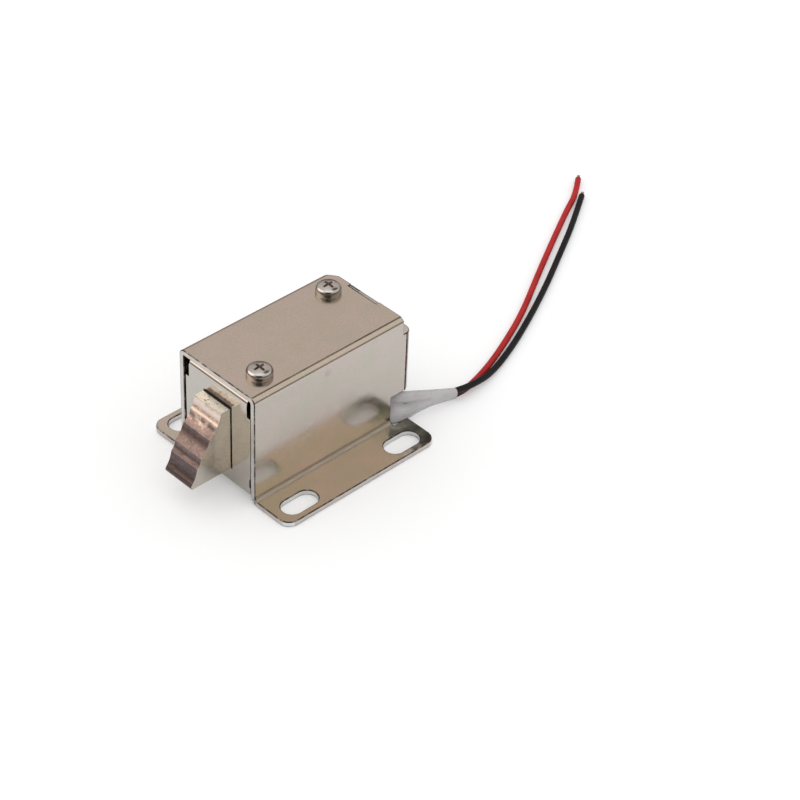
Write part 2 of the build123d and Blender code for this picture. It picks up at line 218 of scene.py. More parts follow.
# Return spring: its seats, coil, wire, turns and points a turn, and how much closer its end turns lie
SPRING_START = (-17.2, 0, 12.9)
SPRING_END_X = -3.65
SPRING_R = 4.65
SPRING_WIRE = 0.5
SPRING_TURNS = 7
SPRING_STEPS = 40
SPRING_CLOSER_ENDS = 0.035

# Coil winding: the wave texture's scale for turns about half a millimetre apart
WINDING_SCALE = 600

# Floor and room, in metres and strengths: metal sees the near floor, fading into the dim room
FLOOR_HALF = 3
FLOOR_FADE = (0.16, 0.3)
FLOOR_LIFT = 0.25
DIM_ROOM = (0.2, 0.165, 0.15)


def new_object(name, data):
    """An object with this data, linked into the scene."""
    made = bpy.data.objects.new(name, data)
    bpy.context.scene.collection.objects.link(made)
    return made


def photo_camera():
    """The camera at the photograph's viewing angle."""
    back = Vector(TO_CAMERA)
    level_right = Vector((sin(CAMERA_YAW), -cos(CAMERA_YAW), 0))
    level_up = back.cross(level_right)
    right = cos(CAMERA_ROLL) * level_right + sin(CAMERA_ROLL) * level_up
    up = cos(CAMERA_ROLL) * level_up - sin(CAMERA_ROLL) * level_right
    data = bpy.data.cameras.new("photo_camera")
    data.sensor_width = SENSOR_MM
    data.lens = FOCAL_PX / PHOTO_SIDE_PX * SENSOR_MM
    data.clip_start, data.clip_end = CAMERA_CLIP
    camera = new_object("photo_camera", data)
    camera.matrix_world = Matrix((right, up, back)).transposed().to_4x4()
    camera.location = CAMERA_DISTANCE * back + CAMERA_RIGHT * right + CAMERA_UP * up
    bpy.context.scene.camera = camera


class Paint:
    """A material, or the world, as a node tree that grows from left to right."""

    def __init__(self, name, world=False):
        self.block = (bpy.data.worlds if world else bpy.data.materials).new(name)
        self.block.use_nodes = True
        self.tree = self.block.node_tree
        self.shader = self.tree.nodes.get("Principled BSDF")

    def node(self, kind, inputs=(), **settings):
        """A node, with a value or another node's output for each input named."""
        new = self.tree.nodes.new(kind)
        for key, value in settings.items():
            setattr(new, key, value)
        for socket, value in dict(inputs).items():
            if isinstance(value, bpy.types.NodeSocket):
                self.tree.links.new(value, new.inputs[socket])
            else:
                new.inputs[socket].default_value = value
        return new

    def place(self, stretch=(1, 1, 1)):
        """Positions on the object in metres, stretched along its axes."""
        where = self.node("ShaderNodeTexCoord").outputs["Object"]
        if stretch == (1, 1, 1):
            return where
        return self.node("ShaderNodeMapping", {"Vector": where, "Scale": stretch}).outputs["Vector"]

    def noise(self, size_mm, detail=3.0, stretch=(1, 1, 1), rough=0.55):
        """Noise with features about size_mm across."""
        inputs = {
            "Vector": self.place(stretch),
            "Scale": 1 / (size_mm * MM),
            "Detail": detail,
            "Roughness": rough,
        }
        return self.node("ShaderNodeTexNoise", inputs).outputs["Fac"]

    def remap(self, value, low, high, to_low, to_high):
        """A value's stretch from low to high, made to run from to_low to to_high and held beyond."""
        return self.node(
            "ShaderNodeMapRange",
            {"Value": value, "From Min": low, "From Max": high, "To Min": to_low, "To Max": to_high},
        ).outputs["Result"]

    def spread(self, noise, to_low, to_high):
        """A noise's usual range, made to run from to_low to to_high."""
        return self.remap(noise, NOISE_LOW, NOISE_HIGH, to_low, to_high)

    def ramp(self, value, stops):
        """A colour for each value, from (position, colour) stops."""
        new = self.node("ShaderNodeValToRGB", {"Fac": value})
        elements = new.color_ramp.elements
        while len(elements) < len(stops):
            elements.new(0.5)
        for element, (position, colour) in zip(elements, stops):
            element.position = position
            element.color = (*colour, 1)
        return new.outputs["Color"]

    def mix(self, factor, first, second):
        """The first colour, with a share of the second."""
        new = self.node("ShaderNodeMix", data_type="RGBA")
        for socket, value in ((new.inputs[0], factor), (new.inputs[6], first), (new.inputs[7], second)):
            if isinstance(value, bpy.types.NodeSocket):
                self.tree.links.new(value, socket)
            else:
                socket.default_value = value if isinstance(value, float) else (*value, 1)
        return new.outputs[2]

    def math(self, operation, first, second=0.0):
        """An operation on one or two values."""
        return self.node("ShaderNodeMath", {0: first, 1: second}, operation=operation).outputs[0]

    def tarnish_and_shade(self, colour, patches):
        """A colour with ragged stains and patches of painted shade on it, given as (middle and reach in mm,
        tint, strength).
        """
        ragged = self.noise(1.7, 4.0)
        for middle, reach, tint, strength in patches:
            middle = [MM * x for x in middle]
            away = self.node("ShaderNodeVectorMath", {0: self.place(), 1: middle}, operation="DISTANCE")
            fray = STAIN_FRAYED * reach * MM
            frayed = self.math("ADD", away.outputs["Value"], self.spread(ragged, -fray, fray))
            share = self.remap(frayed, STAIN_GONE * reach * MM, STAIN_FULL * reach * MM, 0.0, strength)
            colour = self.mix(share, colour, tint)
        return colour

    def bumps(self, *layers):
        """Bumps laid over each other, each as (height, depth in mm)."""
        normal = None
        for height, depth in layers:
            inputs = {"Height": height, "Strength": 1.0, "Distance": depth * MM}
            if normal:
                inputs["Normal"] = normal
            normal = self.node("ShaderNodeBump", inputs).outputs["Normal"]
        self.tree.links.new(normal, self.shader.inputs["Normal"])

    def set(self, **values):
        """The shader's own inputs, by name with _ for each space."""
        for key, value in values.items():
            socket = self.shader.inputs[key.replace("_", " ")]
            if isinstance(value, bpy.types.NodeSocket):
                self.tree.links.new(value, socket)
            else:
                socket.default_value = (*value, 1) if socket.type == "RGBA" else value


def darker(colour):
    """The same tint, some way darker."""
    return tuple(DARKER * c for c in colour)


def add_painted_shade_strip(paint, colour, strips):
    """A colour with the strip of painted shade over the latch, in layers of (top, softness, tint, strength).
    """
    where = paint.node("ShaderNodeSeparateXYZ", {0: paint.place()}).outputs
    slanted = paint.math("ADD", where["Y"], paint.math("MULTIPLY", where["Z"], STRIP_SLANT))
    aside = paint.math("ABSOLUTE", paint.math("SUBTRACT", slanted, STRIP_MIDDLE * MM))
    inside = paint.remap(aside, STRIP_HALF * MM, (STRIP_HALF - STRIP_END_SOFT) * MM, 0.0, 1.0)
    foot = paint.remap(where["Z"], (STRIP_FOOT_Z - STRIP_FOOT_SOFT) * MM, STRIP_FOOT_Z * MM, 0.0, 1.0)
    inside = paint.math("MULTIPLY", inside, foot)
    ragged = paint.spread(paint.noise(1.1, 4.0), -STRIP_RAGGED * MM, STRIP_RAGGED * MM)
    height = paint.math("ADD", where["Z"], ragged)
    for top, soft, tint, strength in strips:
        below = paint.remap(height, top * MM, (top - soft) * MM, 0.0, strength)
        colour = paint.mix(paint.math("MULTIPLY", inside, below), colour, tint)
    return colour


def plated(name, warm, cool, roughness, grain, wobble=0.016, stains_and_shade=(), strips=()):
    """Plated sheet: two tints in soft patches, fine specks and grain, small scuffs and a slight wobble."""
    paint = Paint(name)
    colour = paint.ramp(paint.noise(5.0, 4.0), [(0.38, warm), (0.62, cool)])
    specks = paint.noise(0.45, 3.0, rough=0.7)
    colour = paint.mix(paint.remap(specks, 0.42, 0.72, 0.0, 0.3), colour, darker(cool))
    scuffs = paint.noise(1.5, 2.0, (1, 1.6, 1))
    colour = paint.mix(paint.remap(scuffs, 0.72, 0.8, 0.0, 0.5), colour, (0.86, 0.8, 0.72))
    if stains_and_shade:
        colour = paint.tarnish_and_shade(colour, stains_and_shade)
    if strips:
        colour = add_painted_shade_strip(paint, colour, strips)
    smears = paint.noise(3.2, 4.0, (0.7, 1, 1))
    paint.set(Base_Color=colour, Metallic=1.0, Roughness=paint.spread(smears, *roughness))
    paint.bumps((paint.noise(14, 1.0), wobble), (paint.noise(0.32, 3.0), grain))
    return paint.block


def sheared(name, colour, dark, rim):
    """A sheared edge: fine lines through the sheet, and a broken dark line of painted shade along its outer
    corners.
    """
    paint = Paint(name)
    lines = paint.noise(0.16, 3.0, (1, 1, 0.12))
    patches = paint.noise(2.4, 3.0)
    tint = paint.mix(paint.remap(patches, 0.42, 0.7, 0.0, 0.45), colour, dark)
    where = paint.node("ShaderNodeSeparateXYZ", {0: paint.place()}).outputs
    away = paint.math("ABSOLUTE", where["Y"])
    starts, full = [(BODY_TOP_Z - gap) * MM for gap in TOP_LINE_BEFORE]
    line = paint.remap(where["Z"], starts, full, 0.0, 1.0)
    for value, corner in ((where["Z"], FLANGE_TOP_Z), (away, WALL_Y)):
        starts, full = [(corner - gap) * MM for gap in LINE_BEFORE]
        inner = paint.remap(value, starts, full, 0.0, 1.0)
        fades, gone = [(corner + gap) * MM for gap in LINE_PAST]
        outer = paint.remap(value, fades, gone, 1.0, 0.0)
        line = paint.math("MAXIMUM", line, paint.math("MULTIPLY", inner, outer))
    broken = paint.remap(paint.noise(1.8, 4.0, rough=0.65), 0.36, 0.5, 0.25, 0.95)
    tint = paint.mix(paint.math("MULTIPLY", line, broken), tint, rim)
    paint.set(Base_Color=tint, Metallic=1.0, Roughness=paint.spread(lines, 0.24, 0.4))
    paint.bumps((lines, 0.004))
    return paint.block


def rimmed(name, dark, line_break):
    """The rounded edges of the sheet: a dark line of painted shade, broken here and there by lighter
    patches.
    """
    paint = Paint(name)
    breaks = paint.noise(1.4, 4.0, rough=0.65)
    tint = paint.ramp(breaks, [(0.48, dark), (0.66, line_break)])
    paint.set(Base_Color=tint, Metallic=1.0, Roughness=paint.spread(breaks, 0.36, 0.2))
    paint.bumps((paint.noise(0.2, 3.0), 0.003))
    return paint.block


def creased(name, colour, dark):
    """The inside of a bend: rougher, duller plating with painted shade darkening it, drawn in fine lines
    along the bend.
    """
    paint = Paint(name)
    lines = paint.noise(0.18, 4.0, (0.06, 1, 1), 0.7)
    tint = paint.mix(paint.remap(lines, 0.35, 0.7, 0.0, 0.8), colour, dark)
    paint.set(Base_Color=tint, Metallic=1.0, Roughness=paint.spread(lines, 0.45, 0.6))
    paint.bumps((lines, 0.006))
    return paint.block


def ramp_metal(name):
    """The latch's ramp: its own pinkish brown, with a pale pink painted highlight under the land, then
    darker painted shade, pitted and streaked down to its tip.
    """
    paint = Paint(name)
    height = paint.node("ShaderNodeSeparateXYZ", {0: paint.place()}).outputs["Z"]
    stains_and_shade = paint.noise(1.5, 4.0, (1, 0.8, 1), 0.6)
    uneven = paint.math("ADD", height, paint.spread(stains_and_shade, -0.9 * MM, 0.9 * MM))
    # Colour by height: the ramp's own pinkish brown, painted lighter as a highlight band under the land and
    # darker as shade towards the tip
    colour = paint.ramp(
        paint.remap(uneven, RAMP_FOOT_Z * MM, RAMP_TOP_Z * MM, 0.0, 1.0),
        [
            (0.05, (0.13, 0.095, 0.088)),
            (0.3, (0.17, 0.125, 0.115)),
            (0.44, (0.24, 0.175, 0.155)),
            (0.62, (0.2, 0.145, 0.13)),
            (0.71, (0.34, 0.25, 0.22)),
            (0.79, (1.0, 0.8, 0.67)),
            (0.92, (0.98, 0.77, 0.63)),
            (0.97, (0.72, 0.55, 0.45)),
        ],
    )
    pits = paint.noise(0.55, 4.0, (1, 0.8, 1), 0.6)
    few, many = [z * MM for z in PITTED_Z]
    low = paint.remap(height, few, many, 0.0, 0.6)
    dark = paint.math("MULTIPLY", paint.remap(pits, 0.5, 0.68, 0.0, 1.0), low)
    colour = paint.mix(dark, colour, (0.1, 0.07, 0.065))
    streaks = paint.noise(0.5, 3.0, (1, 0.25, 1))
    colour = paint.mix(paint.remap(streaks, 0.55, 0.75, 0.0, 0.22), colour, (0.62, 0.47, 0.42))
    paint.set(Base_Color=colour, Metallic=1.0, Roughness=paint.remap(pits, 0.35, 0.7, 0.2, 0.4))
    paint.bumps((paint.noise(2.0, 2.0), 0.01), (pits, 0.008))
    return paint.block


def latch_flank(name):
    """The latch's side and other flat faces: olive grey, with faint cloudiness."""
    paint = Paint(name)
    colour = paint.ramp(paint.noise(4.0, 4.0), [(0.36, (0.68, 0.6, 0.5)), (0.64, (0.75, 0.68, 0.57))])
    marks = paint.noise(0.3, 4.0, (0.3, 1, 1), 0.7)
    colour = paint.mix(paint.remap(marks, 0.45, 0.75, 0.0, 0.3), colour, (0.38, 0.33, 0.26))
    paint.set(Base_Color=colour, Metallic=1.0, Roughness=paint.spread(marks, 0.18, 0.3))
    paint.bumps((paint.noise(6.0, 1.0), 0.01), (marks, 0.0015))
    return paint.block


def latch_land(name):
    """The flat on the latch's top: pale plating worn through to olive specks, with painted shade along the
    front plate.
    """
    paint = Paint(name)
    specks = paint.noise(0.55, 3.0, (1, 0.7, 1))
    colour = paint.ramp(
        specks, [(0.33, (0.36, 0.33, 0.22)), (0.42, (0.98, 0.89, 0.76)), (0.7, (1.0, 0.96, 0.88))]
    )
    forward = paint.node("ShaderNodeSeparateXYZ", {0: paint.place()}).outputs["X"]
    # Painted shade on the land where it meets the front plate
    land_shade = paint.remap(forward, LAND_SHADE_X * MM, (LAND_SHADE_X + LAND_SHADE_SOFT) * MM, 0.0, 0.95)
    colour = paint.mix(land_shade, colour, (0.02, 0.015, 0.012))
    paint.set(Base_Color=colour, Metallic=0.4, Roughness=paint.spread(specks, 0.38, 0.24))
    paint.bumps((specks, 0.01))
    return paint.block


def turned(name, colour, roughness, depth=0.003):
    """Turned or drawn steel with fine rings."""
    paint = Paint(name)
    rings = paint.noise(0.2, 3.0, (1, 0.2, 0.2), 0.6)
    soft = paint.noise(1.5, 3.0)
    tint = paint.mix(paint.remap(soft, 0.35, 0.7, 0.0, 0.5), colour, darker(colour))
    paint.set(Base_Color=tint, Metallic=1.0, Roughness=paint.spread(rings, *roughness))
    paint.bumps((rings, depth))
    return paint.block


def moulded(
    name, colour, second, roughness, depth, size, stretch=(1, 1, 1), coat=0.0, soft=0.0, shine=0.5, stains_and_shade=()
):
    """Plastic with a faint cloudiness and a fine surface."""
    paint = Paint(name)
    clouds = paint.noise(size, 3.0, stretch)
    tint = paint.ramp(clouds, [(0.35, colour), (0.65, second)])
    if stains_and_shade:
        tint = paint.tarnish_and_shade(tint, stains_and_shade)
    paint.set(
        Base_Color=tint,
        Roughness=paint.spread(paint.noise(size / 3, 3.0, stretch), *roughness),
        Specular_IOR_Level=shine,
        Coat_Weight=coat,
        Coat_Roughness=0.12,
        Subsurface_Weight=soft,
        Subsurface_Radius=(1.2 * MM, 1.0 * MM, 0.9 * MM),
        Subsurface_Scale=1.0,
    )
    paint.bumps((clouds, depth), (paint.noise(0.25, 2.0), depth / 6))
    return paint.block


def wound(name):
    """Enamelled wire, wound turn beside turn."""
    paint = Paint(name)
    turns = paint.node(
        "ShaderNodeTexWave",
        {"Vector": paint.place(), "Scale": WINDING_SCALE, "Distortion": 0.4, "Detail": 1.0},
        bands_direction="X",
    ).outputs["Fac"]
    tone = paint.ramp(turns, [(0.1, (0.2, 0.07, 0.03)), (0.6, (0.62, 0.28, 0.12))])
    paint.set(Base_Color=tone, Metallic=0.8, Roughness=0.3)
    paint.bumps((turns, 0.06))
    return paint.block


def stranded(name):
    """Tinned strands, twisted together."""
    paint = Paint(name)
    strands = paint.noise(0.16, 2.0, (0.25, 0.25, 1))
    tone = paint.ramp(strands, [(0.35, (0.32, 0.3, 0.28)), (0.6, (0.72, 0.7, 0.67))])
    paint.set(Base_Color=tone, Metallic=1.0, Roughness=0.32)
    paint.bumps((strands, 0.05))
    return paint.block


def cut_back_corner(shell):
    """Slants the top's rear corner over the far wall, and widens the notch before the tab."""
    for y in (CORNER_START_Y, CORNER_END_Y):
        bmesh.ops.bisect_plane(
            shell,
            geom=shell.verts[:] + shell.edges[:] + shell.faces[:],
            plane_co=(0, MM * y, 0),
            plane_no=(0, 1, 0),
        )
    for vert in shell.verts:
        x, y, z = vert.co / MM
        if x > TOP_REAR_X - NEAR and z > FLAP_TOP_Z + NEAR and y > CORNER_START_Y:
            share = min(1, (y - CORNER_START_Y) / (CORNER_END_Y - CORNER_START_Y))
            vert.co.x -= MM * CORNER_DEPTH * share
        if abs(x - NOTCH_X) < NEAR and z > FLAP_TOP_Z and NOTCH_Y[0] < y < NOTCH_Y[1]:
            vert.co.x -= MM * NOTCH_GAP


def add_shoulder(shell):
    """The tab's shoulder, which stands a little way up in the case's notch."""
    size = Matrix.Diagonal((*(MM * Vector(SHOULDER_SIZE)), 1))
    place = Matrix.Translation(MM * Vector(SHOULDER_MIDDLE)) @ size
    bmesh.ops.create_cube(shell, size=1, matrix=place)


def refined(name, node, body, paints, edge_mm, zones=(), edge_paint=0, reshape=None):
    """A cleaned copy of a node's mesh, with rounded edges.

    Each zone is the number of a paint and the test for its faces, and edge_paint is the number of the paint
    on the rounded edges.
    """
    mesh = nodes[node].data.copy()
    mesh.materials.clear()
    for paint in paints:
        mesh.materials.append(paint)
    shell = bmesh.new()
    shell.from_mesh(mesh)
    bmesh.ops.remove_doubles(shell, verts=shell.verts, dist=WELD * MM)
    bmesh.ops.dissolve_limit(
        shell, angle_limit=FLAT_ANGLE, verts=shell.verts, edges=shell.edges, use_dissolve_boundaries=False
    )
    if reshape:
        reshape(shell)
    bmesh.ops.recalc_face_normals(shell, faces=shell.faces)
    for face in shell.faces:
        face.smooth = True
        face.material_index = 0
        middle = face.calc_center_median() / MM
        for index, test in zones:
            if test(middle, face.normal):
                face.material_index = index
    shell.to_mesh(mesh)
    shell.free()
    if "custom_normal" in mesh.attributes:
        mesh.attributes.remove(mesh.attributes["custom_normal"])
    piece = new_object(name, mesh)
    rounding = piece.modifiers.new("rounding", "BEVEL")
    rounding.width = edge_mm * MM
    rounding.segments = 2
    rounding.limit_method = "ANGLE"
    rounding.angle_limit = EDGE_ANGLE
    rounding.material = edge_paint
    # Painted edges keep their full width, also where facets are shorter than that
    rounding.use_clamp_overlap = edge_paint == 0
    shading = piece.modifiers.new("shading", "WEIGHTED_NORMAL")
    shading.keep_sharp = False
    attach(piece, body)
    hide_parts(node)


def lead_curve(name, route, paint):
    """One lead as a smooth round cord on its route's points."""
    curve = bpy.data.curves.new(name, "CURVE")
    curve.dimensions = "3D"
    spline = curve.splines.new("NURBS")
    spline.points.add(len(route) - 1)
    for point, corner in zip(spline.points, route):
        point.co = (*(MM * Vector(corner)), 1)
    spline.order_u = 3
    spline.use_endpoint_u = True
    spline.resolution_u = 24
    curve.bevel_depth = MM * LEAD_D / 2
    curve.bevel_resolution = 8
    curve.use_fill_caps = True
    curve.materials.append(paint)
    return new_object(name, curve)


def spring_mesh(name, paint):
    """The return spring: a wire helix whose turns lie a little closer towards its ends."""
    line = bpy.data.curves.new(name, "CURVE")
    line.dimensions = "3D"
    count = SPRING_TURNS * SPRING_STEPS
    spline = line.splines.new("POLY")
    spline.points.add(count)
    start_x, _, axis_z = SPRING_START
    length = SPRING_END_X - start_x - SPRING_WIRE
    for step, point in enumerate(spline.points):
        share = step / count
        turn = 2 * pi * SPRING_TURNS * share
        eased = share - SPRING_CLOSER_ENDS * sin(2 * pi * share)
        x = start_x + SPRING_WIRE / 2 + length * eased
        point.co = (MM * x, MM * SPRING_R * cos(turn), MM * (axis_z + SPRING_R * sin(turn)), 1)
    line.bevel_depth = MM * SPRING_WIRE / 2
    line.bevel_resolution = 4
    line.use_fill_caps = True
    source = bpy.data.objects.new(name + "_line", line)
    mesh = bpy.data.meshes.new_from_object(source)
    bpy.data.objects.remove(source)
    mesh.name = name
    mesh.materials.append(paint)
    for polygon in mesh.polygons:
        polygon.use_smooth = True
    return new_object(name, mesh)


def on_case_shear(middle, normal):
    """The case's sheared edges: front and rear ends, flange sides, slot walls and the flaps' tops."""
    ends = (CASE_FRONT_X, CASE_REAR_X, TOP_REAR_X)
    on_end = abs(normal.x) > ALONG and any(abs(middle.x - end) < NEAR for end in ends)
    on_flap_top = normal.z > ALONG and abs(middle.z - FLAP_TOP_Z) < NEAR
    return on_end or on_flap_top or (on_flange_cut(middle, normal) and abs(middle.y) > SLOT_ZONE_Y)


def on_flange_cut(middle, normal):
    """Upright faces within the thickness of the flanges."""
    return abs(normal.z) < ACROSS and NEAR < middle.z < FLANGE_TOP_Z - NEAR


def on_slot_wall(middle, normal):
    """The walls of the slots, and the flanges' rounded corners."""
    return (
        on_flange_cut(middle, normal)
        and SLOT_ZONE_Y < abs(middle.y) < FLANGE_SIDE_Y - SLOT_MARGIN
        and abs(middle.x) < CASE_REAR_X - SLOT_MARGIN
    )


def in_case_crease(middle, normal):
    """The inside of the bend between a wall and its flange."""
    return (
        FLANGE_TOP_Z - NEAR < middle.z < FLANGE_TOP_Z + CREASE_SIZE
        and WALL_Y - NEAR < abs(middle.y) < WALL_Y + CREASE_SIZE
        and CREASE_TILT[0] < normal.z < CREASE_TILT[1]
    )


def on_shoulder(middle, normal):
    """The tab's shoulder and what lies beside it."""
    beside = middle.y > SHOULDER_MIDDLE[1] - SHOULDER_SIZE[1] / 2 - NEAR
    return beside and middle.z > SHOULDER_MIDDLE[2] - SHOULDER_SHADE_DEPTH


def on_screw_side(middle, normal):
    """The side of a screw's head, with the start of its rounded top."""
    return abs(normal.z) < HEAD_SIDE_STEEP and middle.z > BODY_TOP_Z


def on_ramp(middle, normal):
    return normal.x < RAMP_LEAN and normal.z > ACROSS


def on_land(middle, normal):
    return normal.z > ALONG and middle.z > LAND_Z


def in_recess(node):
    """A test for the faces of a cover screw's cross recess."""
    low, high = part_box(node)
    axis_x, axis_y = (low[0] + high[0]) / 2 / MM, (low[1] + high[1]) / 2 / MM
    floor_z, rim_z = [high[2] / MM - depth for depth in reversed(RECESS_DEPTHS)]

    def test(middle, normal):
        away = ((middle.x - axis_x) ** 2 + (middle.y - axis_y) ** 2) ** 0.5
        return away < RECESS_R and (normal.z < RECESS_STEEP or middle.z < rim_z) and middle.z > floor_z

    return test


def between(before, start, end, after, share):
    """The value a share of the way from start to end, on a smooth curve through all four values."""
    return 0.5 * (
        2 * start
        + (end - before) * share
        + (2 * before - 5 * start + 4 * end - after) * share**2
        + (3 * start - before - 3 * end + after) * share**3
    )


def sleeve_rings():
    """The sleeve's rings, with smooth steps between those chosen."""
    last = len(SLEEVE_RINGS) - 1
    rings = []
    for start in range(last):
        four = [SLEEVE_RINGS[min(max(place, 0), last)] for place in range(start - 1, start + 3)]
        for step in range(SLEEVE_STEPS):
            rings.append([between(*values, step / SLEEVE_STEPS) for values in zip(*four)])
    rings.append(SLEEVE_RINGS[last])
    return rings


def sleeve_mesh(name, paint):
    """The sleeve: a limp flat tube lofted through its rings, with a fold along its near side."""
    rings = sleeve_rings()
    shell = bmesh.new()
    loops = []
    for place, (x, y, z, half_width, half_height, lean) in enumerate(rings):
        before, after = rings[max(place - 1, 0)], rings[min(place + 1, len(rings) - 1)]
        ahead = Vector((after[0] - before[0], after[1] - before[1], 0)).normalized()
        outward = Vector((ahead.y, -ahead.x, 0))
        upward = Vector((0, 0, 1))
        tilt = radians(lean)
        across = cos(tilt) * outward - sin(tilt) * upward
        along = cos(tilt) * upward + sin(tilt) * outward
        fold = max(0, 1 - abs(x - FOLD_X) / FOLD_REACH)
        loop = []
        for side in range(SLEEVE_SIDES):
            turn = 2 * pi * side / SLEEVE_SIDES
            wide, high = cos(turn), sin(turn)
            wide = abs(wide) ** SLEEVE_ROUNDNESS[0] * (1 if wide > 0 else -1)
            high = abs(high) ** SLEEVE_ROUNDNESS[1] * (1 if high > 0 else -1)
            if wide > 0:
                wide -= FOLD_DEPTH * fold * max(0, 1 - abs(high - FOLD_HEIGHT) / FOLD_SPREAD)
            point = Vector((x, y, z)) + half_width * wide * across + half_height * high * along
            loop.append(shell.verts.new(MM * point))
        loops.append(loop)
    for first, second in zip(loops, loops[1:]):
        for side in range(SLEEVE_SIDES):
            beside = (side + 1) % SLEEVE_SIDES
            shell.faces.new((first[side], first[beside], second[beside], second[side]))
    bmesh.ops.recalc_face_normals(shell, faces=shell.faces)
    for face in shell.faces:
        face.smooth = True
    mesh = bpy.data.meshes.new(name)
    shell.to_mesh(mesh)
    shell.free()
    mesh.materials.append(paint)
    sleeve = new_object(name, mesh)
    wall = sleeve.modifiers.new("wall", "SOLIDIFY")
    wall.thickness = SLEEVE_WALL * MM
    wall.offset = -1
    return sleeve


photo_camera()

case_stains = (
    ((20.2, -20.2, 1.3), 8.0, (0.06, 0.052, 0.046), 0.98),
    ((20.2, -17.5, 1.3), 5.8, (0.05, 0.045, 0.04), 0.97),
    ((19.9, 20.2, 1.3), 4.0, (0.3, 0.28, 0.2), 0.6),
    ((-18.5, -14.5, 1.3), 9.0, (0.58, 0.57, 0.42), 0.3),
    ((17.0, -13.0, 1.3), 6.0, (0.42, 0.45, 0.36), 0.45),
    ((-1.5, -11.35, 23.9), 1.0, (0.5, 0.37, 0.31), 0.45),
)
nickel = plated(
    "nickel_plate", (0.71, 0.605, 0.53), (0.665, 0.6, 0.5), (0.13, 0.24), 0.0012, stains_and_shade=case_stains
)
# Painted shade over the latch on the front plate, in two layers
shade_strips_over_latch = ((23.5, 0.4, (0.5, 0.45, 0.4), 0.9), (22.4, 0.5, (0.13, 0.11, 0.09), 0.95))
front_nickel = plated(
    "nickel_front", (0.715, 0.625, 0.54), (0.675, 0.63, 0.54), (0.1, 0.2), 0.001, wobble=0.01,
    strips=shade_strips_over_latch,
)
zinc = plated("inner_plate", (0.6, 0.57, 0.54), (0.54, 0.53, 0.5), (0.22, 0.36), 0.002)
case_shear = sheared("case_shear", (0.8, 0.72, 0.65), (0.6, 0.52, 0.46), (0.12, 0.1, 0.08))
# The inner bends are rougher and painted darker as shade
case_crease = creased("case_crease", (0.57, 0.51, 0.43), (0.42, 0.37, 0.31))
# The case's rounded edges carry a broken dark line of painted shade
case_rim = rimmed("case_rim", (0.07, 0.06, 0.05), (0.5, 0.45, 0.4))
# Slot walls painted brighter as a painted highlight, with the dark line of painted shade along their corners
slot_wall = sheared("slot_wall", (0.97, 0.94, 0.88), (0.72, 0.68, 0.6), (0.1, 0.09, 0.075))
shoulder_shade = turned("shoulder_shade", (0.2, 0.19, 0.18), (0.3, 0.45))
ramp_paint = ramp_metal("latch_ramp")
flank_paint = latch_flank("latch_flank")
land_paint = latch_land("latch_land")
screw_plate = turned("screw_plate", (0.66, 0.63, 0.59), (0.07, 0.18), 0.002)
# The sides of the screw heads: the same steel, painted darker as shade
screw_side = turned("screw_side", (0.42, 0.39, 0.36), (0.08, 0.2), 0.002)
# The cross recesses: the same steel, painted darker as shade in the recess
screw_recess = turned("screw_recess", (0.42, 0.38, 0.34), (0.2, 0.35), 0.002)
core_steel = turned("core_steel", (0.56, 0.54, 0.51), (0.2, 0.36))
pin_steel = turned("pin_steel", (0.6, 0.59, 0.57), (0.15, 0.3))
plunger_steel = turned("plunger_steel", (0.58, 0.57, 0.55), (0.14, 0.3))
spring_wire = turned("spring_wire", (0.6, 0.59, 0.57), (0.2, 0.34))
bobbin_plastic = moulded("bobbin_plastic", (0.74, 0.71, 0.63), (0.8, 0.78, 0.7), (0.35, 0.5), 0.01, 3.0)
winding = wound("winding")
tape = moulded(
    "tape", (0.66, 0.5, 0.12), (0.74, 0.6, 0.18), (0.12, 0.28), 0.02, 2.5, (0.3, 1, 1), coat=0.4
)
sleeve_paint = moulded(
    "sleeve", (0.49, 0.46, 0.475), (0.53, 0.51, 0.49), (0.22, 0.36), 0.008, 3.2, (0.35, 1, 1),
    coat=0.4, soft=0.15,
)
# The red lead is painted dark near the sleeve's mouth, as painted shadow under the black lead
red_paint = moulded(
    "red_insulation", (0.42, 0.012, 0.014), (0.5, 0.02, 0.02), (0.42, 0.58), 0.008, 1.6, (0.4, 0.4, 1),
    shine=0.22, stains_and_shade=(((34.0, -13.6, 1.1), 4.5, (0.05, 0.012, 0.014), 0.95),),
)
black_paint = moulded(
    "black_insulation", (0.006, 0.006, 0.007), (0.011, 0.01, 0.012), (0.4, 0.55), 0.008, 1.6,
    (0.4, 0.4, 1), shine=0.22,
)
tinned = stranded("tinned_strands")

# The CAD meshes that no piece replaces
for node_name, paint in {
    "plunger": plunger_steel,
    "plunger_pin": pin_steel,
    "coil_bobbin": bobbin_plastic,
    "coil_winding": winding,
    "coil_tape": tape,
    "lead_tip_red": tinned,
    "lead_tip_black": tinned,
    "lead_splices": sleeve_paint,
}.items():
    nodes[node_name].data.materials.clear()
    nodes[node_name].data.materials.append(paint)

